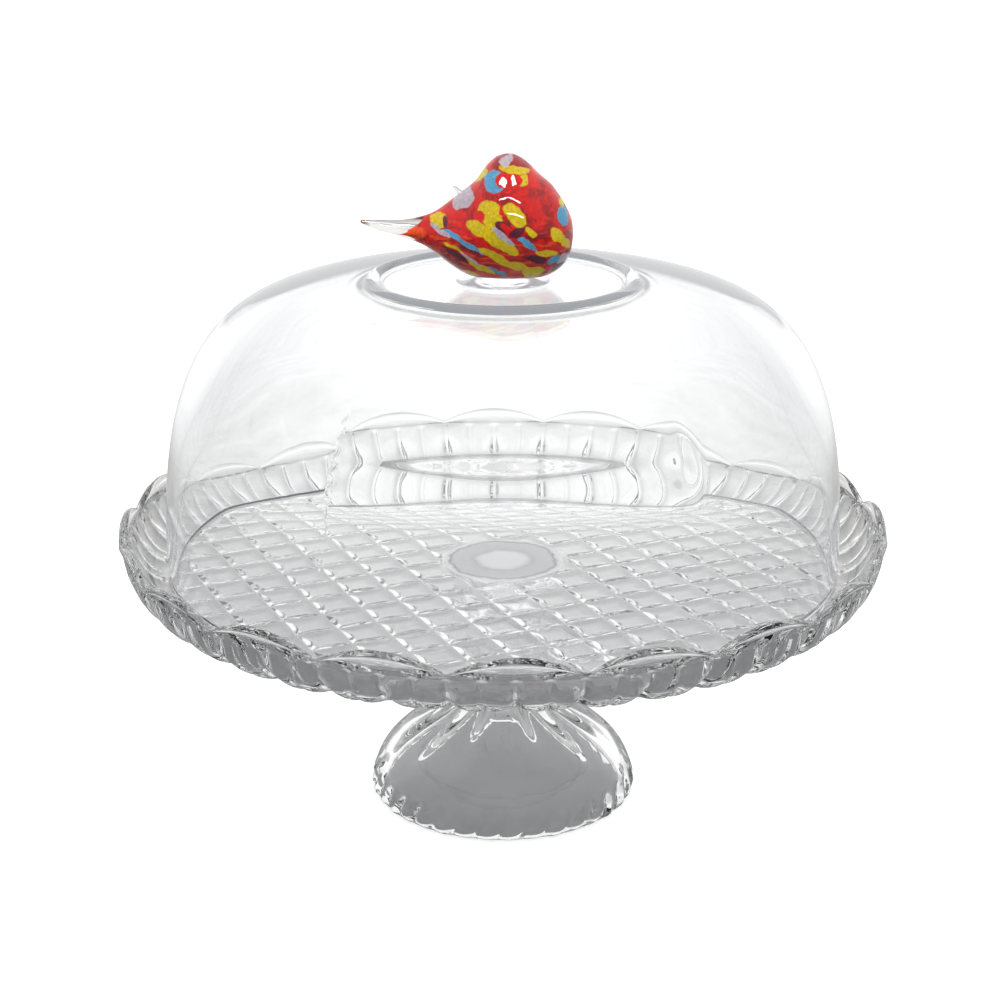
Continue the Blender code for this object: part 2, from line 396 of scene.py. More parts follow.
def groove(x, y):
    """How far the quilted underside is cut up at a point: V grooves in two directions."""
    u = x * cos(QUILT_TURN) + y * sin(QUILT_TURN) - QUILT_U
    v = -x * sin(QUILT_TURN) + y * cos(QUILT_TURN) - QUILT_V
    to_u = abs((u / QUILT_PITCH + 0.5) % 1.0 - 0.5) * QUILT_PITCH
    to_v = abs((v / QUILT_PITCH + 0.5) % 1.0 - 0.5) * QUILT_PITCH
    near = min(to_u, to_v)
    cut = GROOVE_DEEP * max(0.0, 1.0 - near / GROOVE_HALF) ** 1.15
    cut *= 1.0 + 0.12 * unit_noise(x / 17.0, y / 17.0, 0.0, 1.3)
    cut += 0.10 * unit_noise(x / 11.0, y / 11.0, 2.0, 4.1)
    r = hypot(x, y)
    return max(0.0, cut) * (1 - smooth(129.6, 132.6, r)) * smooth(24.0, 26.5, r)


def quilt_points():
    """Flat points of the quilted field, and the edges along its grooves' bottoms and brinks."""
    steps = (0.0, 0.4, 1.2, 2.2, GROOVE_HALF, 5.5, 7.85)
    brink = steps.index(GROOVE_HALF)
    offsets = sorted(set(steps) | {QUILT_PITCH - s for s in steps if 0 < s < 7.8})
    reach = int(QUILT_R / QUILT_PITCH) + 2
    line = [(i, o) for i in range(-reach, reach) for o in range(len(offsets))]
    points = []
    index = {}

    def inside(r):
        return 26.9 < r < 129.2 or 130.2 < r < 132.2

    for i, a in line:
        for j, b in line:
            u = i * QUILT_PITCH + offsets[a] + QUILT_U
            v = j * QUILT_PITCH + offsets[b] + QUILT_V
            x = u * cos(QUILT_TURN) - v * sin(QUILT_TURN)
            y = u * sin(QUILT_TURN) + v * cos(QUILT_TURN)
            if inside(hypot(x, y)):
                index[(i * len(offsets) + a, j * len(offsets) + b)] = len(points)
                points.append((x, y))
    edges = []
    count = len(offsets)
    for (a, b), k in index.items():
        right = index.get((a + 1, b))
        up = index.get((a, b + 1))
        if right is not None and b % count in (0, brink, count - brink):
            edges.append((k, right))
        if up is not None and a % count in (0, brink, count - brink):
            edges.append((k, up))
        corner = a % count < brink or a % count >= count - brink
        if corner and a % count == b % count and (a + 1, b + 1) in index:
            edges.append((k, index[(a + 1, b + 1)]))
        if corner and (a % count + b % count) % count == 0 and (a + 1, b - 1) in index:
            edges.append((k, index[(a + 1, b - 1)]))
    return points, edges


def make_plate():
    """Turned from the floor's middle to the underside, which is a flat mesh cut by the quilting."""
    rings = plate_rings()
    vertices = [(0.0, 0.0, FLOOR)]
    for ring, normal in zip(rings, ring_normals(rings)):
        for k in range(AROUND):
            vertices.append(plate_point(ring, normal, tau * k / AROUND))
    faces = [(0, 1 + k, 1 + (k + 1) % AROUND) for k in range(AROUND)]
    for i in range(len(rings) - 1):
        faces += ring_faces(1 + i * AROUND, AROUND)
    last = len(vertices) - AROUND
    points, edges = quilt_points()
    border = len(points)
    points += [(x, y) for x, y, z in vertices[last:]]
    circles = [(131.6, 360), (129.7, 360), (26.4, 120), (25.2, 120), (24.0, 120), (12.0, 40)]
    for r, count in circles:
        for k in range(count):
            points.append((r * cos(tau * k / count), r * sin(tau * k / count)))
    points.append((0.0, 0.0))
    edges += [(border + k, border + (k + 1) % AROUND) for k in range(AROUND)]
    flat = [Vector(p) for p in points]
    found, _, triangles, sources, _, _ = delaunay_2d_cdt(flat, edges, [], 0, 1e-5)
    index = []
    for point, origins in zip(found, sources):
        own = [s - border for s in origins if border <= s < border + AROUND]
        index.append(last + own[0] if own else len(vertices))
        if not own:
            vertices.append((point.x, point.y, UNDER + groove(point.x, point.y)))
    for triangle in triangles:
        faces.append(tuple(index[k] for k in reversed(triangle)))
    return piece_from("plate_pressed_glass", vertices, faces, "stand", "plate", "plate_glass")


# --------------------------------------------------------------------- foot

FOOT_TOP = box_mm("foot")[1].z
STEM_R = 15.5
BORE_R = 10.0
BORE_TOP = 88.6
FLUTES = 14
LUMPS = 36             # of the rope round the skirt's edge


def foot_rings():
    """(radius, height, flute factor, lump factor) from the head's middle down and up the hollow.

    The flute factor is negative in the hollow, where the flutes show faintly."""
    top = FOOT_TOP
    rings = [(r, top, 0.0, 0.0) for r in (6.0, 14.0, 20.0, 21.6)]
    rings += [(22.2, top - 0.3, 0.0, 0.0), (22.5, top - 0.9, 0.0, 0.0)]
    head = [(22.5, top - 1.6), (21.5, top - 8.7), (STEM_R, top - 15.6), (STEM_R, top - 26.0)]
    for r, z in bezier(head, 12):
        rings.append((r, z, 0.55 * smooth(top - 2.0, top - 12.0, z), 0.0))
    rings += [(STEM_R, z, 0.55, 0.0) for z in (64.0, 60.0, 56.0, 52.0)]
    skirt = [(STEM_R, 49.0), (19.5, 34.0), (48.1, 30.4), (54.0, 6.5)]
    for r, z in bezier(skirt, 40):
        flute = 0.55 + 0.45 * smooth(15.0, 24.0, r)
        flute *= 1 - 0.94 * smooth(23.0, 50.0, r)
        rings.append((r, z, flute, smooth(11.5, 7.5, z)))
    edge = [(54.35, 5.4), (54.6, 4.4), (54.6, 3.4), (54.4, 2.4)]
    edge += [(54.0, 1.5), (53.4, 0.7), (52.8, 0.2), (52.3, 0.0)]
    for r, z in edge:
        rings.append((r, z, 0.12, smooth(52.0, 54.0, r)))
    rings += [(51.2, 0.0, 0.0, 0.0), (50.0, 0.0, 0.0, 0.0)]
    hollow = [(49.2, 0.15), (43.1, 25.0), (14.0, 28.0), (BORE_R, 44.0)]
    for r, z in bezier(hollow, 30):
        rings.append((r, z, -0.22 * smooth(8.0, 20.0, z), 0.0))
    rings += [(BORE_R, z, 0.0, 0.0) for z in (52.0, 60.0, 70.0, 80.0, 84.5)]
    for r, z in ((9.5, BORE_TOP - 2.0), (8.4, BORE_TOP - 0.7), (6.0, BORE_TOP), (3.0, BORE_TOP)):
        rings.append((r, z, 0.0, 0.0))
    return rings


def foot_point(ring, normal, angle):
    """A point of the foot: flutes that fade at the front, and the slanted lumps of the rope."""
    r, z, flute, lump = ring
    from_front = angle + pi / 2
    wave = cos(FLUTES * from_front)
    ridge = (0.5 + 0.5 * wave) ** 1.4 * (1 - 0.8 * exp(-(sin(from_front) / 0.34) ** 2))
    deep = 1.35 * flute * (1.0 - ridge) if flute > 0 else 0.7 * flute * ridge
    if lump:
        slant = from_front * LUMPS + (5.0 - z) * 0.30
        bead = abs(sin(slant / 2)) ** 0.7
        deep += lump * (2.3 * (1 - bead) - 0.1)
        deep += lump * 0.35 * unit_noise(cos(angle) * 6.0, sin(angle) * 6.0, z / 9.0, 0.7)
    side = 1 if flute >= 0 else -1
    r -= side * normal[0] * deep
    z -= side * normal[1] * deep
    return (r * cos(angle), r * sin(angle), max(0.0, z))


def make_foot():
    poles = ((0.0, 0.0, FOOT_TOP), (0.0, 0.0, BORE_TOP))
    shape = (foot_rings(), foot_point, 384, poles)
    return turned_piece("foot_fluted_glass", *shape, "stand", "foot", "foot_glass")


def make_bond():
    """The joint between foot and plate: a disc of set adhesive drawn up into the plate's glass."""
    low = FOOT_TOP + 0.1
    high = UNDER + 0.25
    rings = [(r, high) for r in (4.0, 10.0, 16.0, 22.0, 23.4)]
    rings += [(23.8, high - 0.15), (23.9, high - 0.4), (23.7, low + 0.2), (23.2, low)]
    rings += [(r, low) for r in (16.0, 8.0)]

    def place(ring, normal, angle):
        r = ring[0] + 0.15 * unit_noise(cos(angle) * 3.0, sin(angle) * 3.0, 0.0, 5.0)
        return (r * cos(angle), r * sin(angle), ring[1])

    poles = ((0.0, 0.0, high), (0.0, 0.0, low))
    shape = (rings, place, 144, poles)
    return turned_piece("foot_joint_disc", *shape, "stand", "foot_bond", "adhesive")


# --------------------------------------------------------------------- dome

DOME_FOOT = box_mm("dome")[0].z
DOME_R = 133.8
DOME_WALL = 2.7
CROWN = 214.2
CEILING = CROWN - 3.0
BEAD_R = 50.7
LENS_SEAM = -0.499     # radians from the front to the seam where the front wall's swell starts
SEAM_PULL = 0.12       # radians on each side of the seam in which the mesh crowds towards it
SWELL = 2.2            # the most that the swell adds to the wall


def dome_side():
    """The dome's shoulder and outer side, from the bead down to its bottom edge."""
    top = 213.2
    curve = [(56.0, top), (93.8, top - 1.4), (DOME_R, top - 2.8), (DOME_R, 112.0)]
    return bezier(curve, 100) + [(DOME_R, z) for z in (110.0, 108.0, 106.0, 104.0, 102.6)]


def inner_wall():
    """The dome's inner side: its outer side, moved in by the wall all along."""
    outer = dome_side()
    inner = []
    for k, (r, z) in enumerate(outer):
        before = outer[max(0, k - 1)]
        after = outer[min(len(outer) - 1, k + 1)]
        dr = after[0] - before[0]
        dz = after[1] - before[1]
        size = hypot(dr, dz)
        inner.append((r + DOME_WALL * dz / size, z - DOME_WALL * dr / size))
    return inner


def dome_rings():
    """(radius, height) from the crown's middle down the outside, round the edge and up inside."""
    rings = [(r, CROWN) for r in (5.0, 15.0, 25.0, 35.0, 42.0, 45.0)]
    rings += bezier([(45.6, CROWN), (46.9, CROWN), (47.1, 214.9), (47.6, 215.2)], 5)
    for k in range(17):
        turn = radians(160.0 - 148.0 * k / 16)
        rings.append((BEAD_R + 3.3 * cos(turn), 213.5 + 3.3 * sin(turn)))
    rings += bezier([(54.2, 213.9), (54.5, 213.4), (55.0, 213.22), (55.7, 213.21)], 4)[1:]
    rings += dome_side()[1:]
    foot = DOME_FOOT
    rings += [(DOME_R - 0.05, foot + 0.7), (DOME_R - 0.3, foot + 0.25), (DOME_R - 0.8, foot)]
    rings += [(DOME_R - 2.2, foot), (DOME_R - 2.75, foot + 0.3), (DOME_R - 2.97, foot + 0.8)]
    rings += inner_wall()[::-1][:-1]
    for k in range(9):
        turn = radians(20.0 + 140.0 * k / 8)
        rings.append((BEAD_R + 2.3 * cos(turn), 210.5 + 2.3 * sin(turn)))
    rings += [(r, CEILING) for r in (47.6, 42.0, 32.0, 20.0, 8.0)]
    return rings


def dome_point(ring, normal, angle):
    """A point of the dome: never quite round, and with a swell in the front of its inner wall.

    The swell bends the view of the plate's back rim, and it starts at a seam left of the front."""
    r, z = ring
    sway = smooth(60.0, 110.0, r) * smooth(102.0, 112.0, z)
    wave = unit_noise(2.2 * cos(angle), 2.2 * sin(angle), z / 38.0, 0.4)
    r += sway * 0.16 * wave
    from_front = (angle + pi / 2 + pi) % tau - pi
    seam = LENS_SEAM + 0.007 * sin(1.2 * z) + 0.004 * sin(2.7 * z + 1.0)
    off = from_front - seam
    if abs(off) < SEAM_PULL and z < 208.0:
        angle += SEAM_PULL * (off / SEAM_PULL) * abs(off / SEAM_PULL) - off
    if normal[0] < 0 and r > 60.0:
        inside = smooth(-0.005, 0.008, off) * (1 - smooth(0.52, 0.60, from_front))
        swell = smooth(156.5, 177.5 - 11.0 * from_front ** 2, z)
        plain = smooth(150.0, 196.0, z)
        share = inside * swell + (1 - inside) * plain
        thick = SWELL * share * smooth(52.0, 100.0, r)
        r -= thick
        z -= 0.35 * thick
    return (r * cos(angle), r * sin(angle), z)


def make_dome():
    poles = ((0.0, 0.0, CROWN), (0.0, 0.0, CEILING))
    shape = (dome_rings(), dome_point, 420, poles)
    return turned_piece("dome_glass_bell", *shape, "lid", "dome", "dome_glass")


def grind_edge(dome, material):
    """Gives the dome's flat bottom edge its own, ground look."""
    dome.data.materials.append(material)
    limit = (DOME_FOOT + 0.55) * MM
    for face in dome.data.polygons:
        if face.center.z < limit:
            face.material_index = 1


def ground_glass():
    """Glass rubbed flat: dark and grainy at the left, paler and clearer elsewhere."""
    material, n = new_material("ground_edge_glass")
    shader = n.add("ShaderNodeBsdfPrincipled")
    grain = n.noise(n.place(), 2200.0, 2.0, 0.6).outputs["Fac"]
    dark = n.ramp(grain, [(0.0, (0.035, 0.045, 0.065, 1.0)), (1.0, (0.09, 0.10, 0.12, 1.0))])
    # dark and opaque at the left, paler and partly clear towards the right
    rightward = n.span(n.split(n.place())[0], -0.078, -0.045, 0.0, 1.0)
    n.fill(shader, Base_Color=n.mix(rightward, dark, (0.72, 0.73, 0.74, 1.0)), Roughness=0.55)
    n.fill(shader, Transmission_Weight=n.span(rightward, 0.0, 1.0, 0.0, 0.75))
    n.finish(shader.outputs["BSDF"])
    return material


# ---------------------------------------------------------- pad under the bird

PAD_LOW, PAD_HIGH = box_mm("finial_pad")


def pad_rings():
    """(radius, height) from the top's middle out over the thin edge and back underneath."""
    low, high = PAD_LOW.z, PAD_HIGH.z
    rings = [(r, high) for r in (2.0, 4.0, 6.0)]
    top = [(7.0, high), (9.5, high - 0.2), (11.5, low + 0.7), (17.6, low + 0.55)]
    rings += bezier(top, 16)
    rings += [(18.1, low + 0.45), (18.4, low + 0.25), (18.3, low + 0.05), (18.0, low)]
    rings += [(r, low) for r in (15.0, 10.0, 5.0)]
    return rings


def pad_point(ring, normal, angle):
    """Hand-dropped glass: its edge wanders a little."""
    r, z = ring
    wander = 0.5 + 0.5 * unit_noise(cos(angle) * 2.0, sin(angle) * 2.0, 0.0, 2.2)
    r -= 0.55 * smooth(10.0, 17.0, r) * wander
    return (r * cos(angle), r * sin(angle), z)


def make_pad():
    poles = ((0.0, 0.0, PAD_HIGH.z), (0.0, 0.0, PAD_LOW.z))
    shape = (pad_rings(), pad_point, 128, poles)
    return turned_piece("perch_pad_glass", *shape, "lid", "finial_pad", "pad_glass")


# --------------------------------------------------------------------- bird

PERCH = box_mm("bird_casing")[0].z
CASE_WALL = 1.3
CORE_TAIL = -41.3      # the x at which the coloured glass ends inside the tail
NOSE_Z = 16.25         # heights of the form's two ends above the perch
CORE_TAIL_Z = 16.7
CASE_TAIL_Z = 20.8

# x, underside, top and half depth of the bird at stations from the tail to the breast, with the
# heights counted from the perch
STATIONS = [
    (-54.8, 20.2, 21.4, 0.7), (-48.2, 17.4, 21.3, 2.2), (-40.0, 15.1, 21.3, 3.6),
    (-32.0, 12.3, 22.6, 5.8), (-26.2, 8.9, 24.7, 8.9), (-21.0, 4.8, 28.4, 12.4),
    (-15.5, 1.2, 32.7, 15.6), (-10.7, -1.0, 36.5, 18.0), (-6.8, -2.0, 41.9, 19.6),
    (-2.1, -2.4, 46.0, 20.8), (3.0, -2.5, 46.9, 21.4), (8.4, -2.2, 44.3, 21.2),
    (14.1, -1.2, 38.9, 19.4), (18.4, 0.6, 35.2, 16.8), (21.8, 2.8, 30.7, 13.6),
    (24.4, 5.7, 26.2, 9.8), (26.4, 10.8, 21.4, 5.0), (27.0, 15.0, 17.5, 1.5),
]


def station_at(x):
    """Underside, top and half depth at x, on a smooth curve through the stations."""
    x = min(max(x, STATIONS[0][0]), STATIONS[-1][0])
    k = 0
    while k < len(STATIONS) - 2 and x > STATIONS[k + 1][0]:
        k += 1
    a, b = STATIONS[k], STATIONS[k + 1]
    before = STATIONS[max(0, k - 1)]
    after = STATIONS[min(len(STATIONS) - 1, k + 2)]
    span = b[0] - a[0]
    t = (x - a[0]) / span
    found = []
    for i in (1, 2, 3):
        slope_a = (b[i] - before[i]) / max(1e-6, b[0] - before[0]) * span
        slope_b = (after[i] - a[i]) / max(1e-6, after[0] - a[0]) * span
        limit = 1.6 * abs(b[i] - a[i]) + 0.2
        slope_a = max(-limit, min(limit, slope_a))
        slope_b = max(-limit, min(limit, slope_b))
        h = (2 * t ** 3 - 3 * t * t + 1, t ** 3 - 2 * t * t + t, 3 * t * t - 2 * t ** 3, t ** 3 - t * t)
        found.append(h[0] * a[i] + h[1] * slope_a + h[2] * b[i] + h[3] * slope_b)
    return found


def bird_rings(first_x, last_x, inset, taper, rings, segments):
    """Rows of points from breast to tail, less an inset; within the taper the tail thins out."""
    rows = []
    for k in range(1, rings):
        even = 0.5 - 0.5 * cos(pi * k / rings)
        share = 0.35 * (k / rings) + 0.65 * even
        x = last_x - (last_x - first_x) * share ** 1.15
        low, high, depth = station_at(x)
        full = min(1.0, max(0.0, (x - first_x) / taper)) ** 1.8 if taper else 1.0
        half_height = max((high - low) / 2 - inset, 0.1) * full
        half_depth = max(depth - inset, 0.1) * full
        middle = (low + high) / 2 - (1 - full) * 1.5
        row = []
        for s in range(segments):
            turn = tau * s / segments
            across = cos(turn) * (1 - 0.22 * max(sin(turn), 0.0))
            z = middle + half_height * sin(turn)
            if z < inset + 1.0:
                z = inset + exp(z - inset - 1.0) if z > inset - 6 else inset
            row.append((x, half_depth * across, PERCH + max(z, inset)))
        rows.append(row)
    return rows


def bird_mesh(rows, nose, tail):
    """Vertices and closed faces over the rows, with a pole at each end."""
    vertices = [point for row in rows for point in row]
    faces = closed_faces(vertices, len(rows), len(rows[0]), (nose, tail))
    return vertices, faces


def rounded_cone(start, end, first_radius, last_radius, count=28):
    """Vertices and faces of a tapered, round-ended peg between two points."""
    axis = Vector(end) - Vector(start)
    turn = axis.to_track_quat("Z", "Y")
    rings = [(first_radius * 0.7, -0.6), (first_radius, 0.0)]
    for k in range(1, 9):
        radius = first_radius + (last_radius - first_radius) * (k / 8) ** 0.7
        rings.append((radius, axis.length * k / 8))
    for k in range(1, 6):
        lean = pi / 2 * k / 6
        rings.append((last_radius * cos(lean), axis.length + last_radius * sin(lean)))
    vertices = []
    faces = []
    for r, z in rings:
        for k in range(count):
            point = Vector((r * cos(tau * k / count), r * sin(tau * k / count), z))
            vertices.append(tuple(turn @ point + Vector(start)))
    for i in range(len(rings) - 1):
        faces += [(a, d, c, b) for a, b, c, d in ring_faces(i * count, count)]
    faces.append(tuple(reversed(range(count))))
    base = (len(rings) - 1) * count
    faces.append(tuple(base + k for k in range(count)))
    return vertices, faces


def join_solid(piece, vertices, faces):
    """Unites a small closed form with the piece, so that the glass is one body."""
    tool = object_from("tool", mesh_from("tool", vertices, faces))
    union = piece.modifiers.new("union", "BOOLEAN")
    union.operation = "UNION"
    union.solver = "EXACT"
    union.object = tool
    bpy.context.view_layer.update()
    graph = bpy.context.evaluated_depsgraph_get()
    united = bpy.data.meshes.new_from_object(piece.evaluated_get(graph))
    piece.modifiers.clear()
    piece.data = united
    united.shade_smooth()
    bpy.data.objects.remove(tool)


def make_bird():
    """The coloured core, and the clear glass solid round it, with the long tail and the beak."""
    first_x, last_x = STATIONS[0][0], STATIONS[-1][0]
    breast_x = last_x - CASE_WALL
    rows = bird_rings(CORE_TAIL, breast_x, CASE_WALL, 13.0, 110, 96)
    ends = ((breast_x, 0.0, PERCH + NOSE_Z), (CORE_TAIL, 0.0, PERCH + CORE_TAIL_Z))
    shape = bird_mesh(rows, *ends)
    core = piece_from("bird_color_core", *shape, "lid", "bird_core", "bird_glass")

    rows = bird_rings(first_x, last_x, 0.0, 0.0, 120, 96)
    ends = ((last_x, 0.0, PERCH + NOSE_Z), (first_x, 0.0, PERCH + CASE_TAIL_Z))
    shape = bird_mesh(rows, *ends)
    case = piece_from("bird_clear_glass", *shape, "lid", "bird_casing", "casing_glass")
    beak = rounded_cone((-14.0, 5.6, PERCH + 28.0), (-18.6, 8.0, PERCH + 32.3), 2.3, 0.8)
    join_solid(case, *beak)
    return core, case


# ---------------------------------------------------------- bird's art glass

RED = (0.66, 0.008, 0.006)
DEEP_RED = (0.30, 0.005, 0.007)
MAROON = (0.10, 0.010, 0.028)
YELLOW = (0.76, 0.56, 0.003)
BLUE = (0.09, 0.38, 0.64)
LILAC = (0.58, 0.50, 0.58)
ORANGE = (0.85, 0.075, 0.012)

# Blots of colored glass laid on the hot core: color, x, y, z, half length, half width and tilt.
# Millimetres from the perch, on the side towards the photo; the far side has the same, warped.
BLOTS = [
    (DEEP_RED, 3.0, -8.0, 44.0, 8.0, 3.0, 0),
    (LILAC, 1.0, -7.0, 44.4, 2.4, 1.7, 20),
    (YELLOW, 4.5, -9.5, 41.8, 6.0, 1.1, -6),
    (YELLOW, -8.0, -5.0, 38.6, 3.6, 1.2, 48),
    (BLUE, -3.2, -12.0, 38.0, 4.0, 4.1, 0),
    (RED, 0.0, -13.0, 38.6, 2.6, 2.7, 0),
    (YELLOW, 7.4, -12.1, 38.4, 1.9, 2.1, 0),
    (RED, 5.0, -13.0, 38.4, 2.0, 2.2, 0),
    (LILAC, -15.2, -6.0, 30.8, 4.9, 3.4, 38),
    (YELLOW, -24.6, -6.7, 22.3, 3.2, 2.5, 0),
    (MAROON, -22.0, -8.0, 22.0, 1.1, 1.6, 10),
    (YELLOW, -5.2, -17.0, 28.6, 4.3, 2.6, 8),
    (YELLOW, -3.8, -18.9, 25.0, 3.4, 3.9, 0),
    (YELLOW, -9.2, -17.7, 21.2, 5.6, 2.5, -28),
    (YELLOW, -3.4, -20.0, 17.9, 5.8, 2.7, -34),
    (YELLOW, 1.7, -20.3, 14.6, 4.8, 2.0, -32),
    (RED, -8.6, -16.8, 25.6, 2.4, 1.9, 0),
    (MAROON, 0.2, -20.9, 22.0, 3.6, 2.0, -30),
    (LILAC, 0.4, -20.8, 18.6, 5.4, 1.2, -38),
    (RED, 2.0, -21.0, 21.0, 3.8, 1.3, -38),
    (YELLOW, 4.1, -19.9, 26.8, 5.3, 2.8, -52),
    (MAROON, 5.4, -21.2, 20.4, 3.0, 1.6, 24),
    (YELLOW, 10.2, -20.6, 20.4, 2.6, 0.9, -38),
    (BLUE, 9.4, -20.3, 16.0, 4.4, 1.2, -38),
    (YELLOW, 20.4, -14.7, 18.0, 3.7, 2.1, -50),
    (YELLOW, 23.4, -10.5, 14.3, 2.6, 1.3, -50),
    (BLUE, 22.8, -8.1, 24.3, 2.0, 3.4, 25),
    (YELLOW, 22.0, -5.0, 28.6, 1.2, 1.9, 25),
    (BLUE, -19.0, -12.0, 17.8, 5.0, 1.0, -22),
    (LILAC, -24.0, -9.6, 19.0, 4.6, 1.0, -28),
    (BLUE, -13.5, -15.8, 15.2, 7.2, 1.0, -24),
    (BLUE, -7.0, -17.9, 12.6, 2.4, 1.2, -20),
    (YELLOW, -1.9, -18.3, 10.4, 8.2, 1.6, -27),
    (YELLOW, 5.2, -16.9, 7.0, 4.4, 1.9, -24),
    (YELLOW, 11.6, -13.6, 4.2, 4.2, 2.6, 8),
    (YELLOW, 16.4, -16.7, 11.8, 4.6, 1.2, -8),
    (MAROON, 12.2, -17.5, 9.8, 4.4, 1.4, -12),
    (BLUE, 19.2, -13.3, 8.8, 2.6, 1.5, 20),
    (LILAC, 22.4, -9.1, 8.2, 2.6, 1.8, 40),
    (MAROON, 21.4, -10.0, 4.4, 3.6, 2.0, 30),
    (MAROON, -17.0, -12.1, 9.9, 5.4, 1.1, -28),
    (YELLOW, -18.6, -13.3, 13.2, 4.6, 0.6, -22),
    (YELLOW, -8.0, -14.6, 5.9, 5.4, 1.4, -30),
    (LILAC, -12.0, -13.5, 9.4, 5.0, 0.6, -30),
    (BLUE, -2.0, -14.2, 4.3, 4.4, 0.9, -30),
    (YELLOW, -12.4, -9.1, 2.9, 3.4, 0.9, -14),
    (ORANGE, -37.0, -4.4, 17.0, 8.0, 3.0, 0),
]


def darken_tail(material):
    """A dark brown tip where the tail's glass was broken off the iron."""
    tree = material.node_tree
    shader = next(node for node in tree.nodes if node.type == "BSDF_PRINCIPLED")
    clear = tuple(shader.inputs["Base Color"].default_value)
    coords = tree.nodes.new("ShaderNodeTexCoord")
    split = tree.nodes.new("ShaderNodeSeparateXYZ")
    tree.links.new(coords.outputs["Object"], split.inputs["Vector"])
    ramp = tree.nodes.new("ShaderNodeMapRange")
    ramp.inputs["From Min"].default_value = -0.0535
    ramp.inputs["From Max"].default_value = -0.0505
    tree.links.new(split.outputs["X"], ramp.inputs["Value"])
    mix = tree.nodes.new("ShaderNodeMix")
    mix.data_type = "RGBA"
    mix.inputs["A"].default_value = (0.22, 0.13, 0.09, 1.0)
    mix.inputs["B"].default_value = clear
    tree.links.new(ramp.outputs["Result"], mix.inputs["Factor"])
    tree.links.new(mix.outputs["Result"], shader.inputs["Base Color"])
    return material


def art_glass():
    """Red glass with blots and drawn streaks of yellow, blue, lilac and dark red, and a faint painted
    glow of its own colour.
    """
    material, n = new_material("bird_art_glass")
    shader = n.add("ShaderNodeBsdfPrincipled")
    to_mm = n.add("ShaderNodeMapping")
    n.fill(to_mm, Vector=n.object_place(), Scale=(1 / MM, 1 / MM, 1 / MM))
    n.fill(to_mm, Location=(0.0, 0.0, -PERCH))
    true_place = to_mm.outputs["Vector"]
    x, y, z = n.split(true_place)
    folded = n.join(x, n.math("MULTIPLY", n.math("ABSOLUTE", y), -1.0), z)

    warp = n.noise(true_place, 0.16, 4.0, 0.62).outputs["Color"]
    centred = n.vector("SUBTRACT", warp, (0.5, 0.5, 0.5))
    more_behind = n.span(y, -2.0, 6.0, 3.8, 13.0)
    place = n.vector("ADD", folded, n.scaled(centred, more_behind))

    mottle = n.noise(true_place, 0.17, 5.0, 0.66).outputs["Fac"]
    color = n.ramp(mottle, [(0.41, (*DEEP_RED, 1.0)), (0.52, (*RED, 1.0))])
    flow = n.add("ShaderNodeMapping")
    n.fill(flow, Vector=place, Rotation=(0.0, radians(-33.0), 0.0), Scale=(0.05, 0.12, 0.62))
    for scale, strength, hue in ((1.0, 0.85, MAROON), (37 / 30, 0.9, ORANGE), (1.5, 0.9, RED)):
        strand = n.noise(flow.outputs["Vector"], scale, 2.0, 0.55).outputs["Fac"]
        low_down = n.span(z, 26.0, 16.0, 0.0, strength)
        thread = n.math("MULTIPLY", n.span(strand, 0.57, 0.60, 0.0, 1.0), low_down)
        color = n.mix(thread, color, (*hue, 1.0))
    for hue, at_x, at_y, at_z, length, width, tilt in BLOTS:
        spot = n.add("ShaderNodeMapping", vector_type="TEXTURE")
        n.fill(spot, Vector=place, Location=(at_x, at_y, at_z), Scale=(length, 9.0, width))
        n.fill(spot, Rotation=(0.0, radians(-tilt), 0.0))
        reach = n.vector("LENGTH", spot.outputs["Vector"])
        color = n.mix(n.span(reach, 0.96, 1.06, 1.0, 0.0), color, (*hue, 1.0))

    seeds = n.noise(true_place, 0.9, 2.0, 0.7).outputs["Fac"]
    shade = n.add("ShaderNodeHueSaturation")
    n.fill(shade, Value=n.span(seeds, 0.3, 0.7, 0.72, 1.18), Color=color)
    ripple = n.noise(true_place, 0.22, 2.0, 0.5).outputs["Fac"]
    n.fill(shader, Base_Color=shade.outputs["Color"], Normal=n.bump(ripple, 0.5, 0.0012))
    n.fill(shader, Roughness=n.span(seeds, 0.3, 0.7, 0.10, 0.26), Specular_IOR_Level=0.0)
    # painted glow: the core gives off its own colour as light, to look brighter
    n.fill(shader, Emission_Color=shade.outputs["Color"], Emission_Strength=0.17)
    n.finish(shader.outputs["BSDF"])
    return material


def bond_painted_glow():
    """The bonded joint seen through the plate, painted as a glow: a pale heart, a grey ring and a wavy
    edge.
    """
    material, n = new_material("bond_painted_glow")
    shader = n.add("ShaderNodeBsdfPrincipled")
    place = n.place(1 / MM)
    x, y, _ = n.split(place)
    reach = n.vector("LENGTH", n.join(x, y))
    beat = n.math("SINE", n.math("MULTIPLY", n.math("ARCTAN2", y, x), 6.0))
    blur = n.noise(place, 0.25, 3.0, 0.6).outputs["Fac"]
    rayed = n.math("ADD", reach, n.span(beat, -1.0, 1.0, -0.3, 0.3))
    uneven = n.math("ADD", rayed, n.span(blur, 0.3, 0.7, -0.9, 0.9))
    stops = [(0.0, (0.66, 0.67, 0.66, 1.0)), (0.36, grey_color(0.66)), (0.44, grey_color(0.50))]
    stops += [(0.50, grey_color(0.33)), (0.54, grey_color(0.42)), (0.84, grey_color(0.47))]
    stops += [(0.89, grey_color(0.16)), (0.93, grey_color(0.62)), (1.0, (0.70, 0.71, 0.71, 1.0))]
    glow = n.ramp(n.span(uneven, 0.0, 24.0, 0.0, 1.0), stops)
    n.fill(shader, Base_Color=grey_color(0.2), Roughness=0.35)
    # painted glow: the joint's rings of grey are given off as light
    n.fill(shader, Emission_Color=glow, Emission_Strength=0.8)
    n.finish(shader.outputs["BSDF"])
    return material


# ------------------------------------------------------- floor, light, camera

# How bright the studio is low down, in front, behind and at the sides
WORLD_FRONT = 0.46
WORLD_BACK = 1.10
WORLD_SIDES = 0.60
LAMP_TARGET = (0.0, 0.0, 0.25)


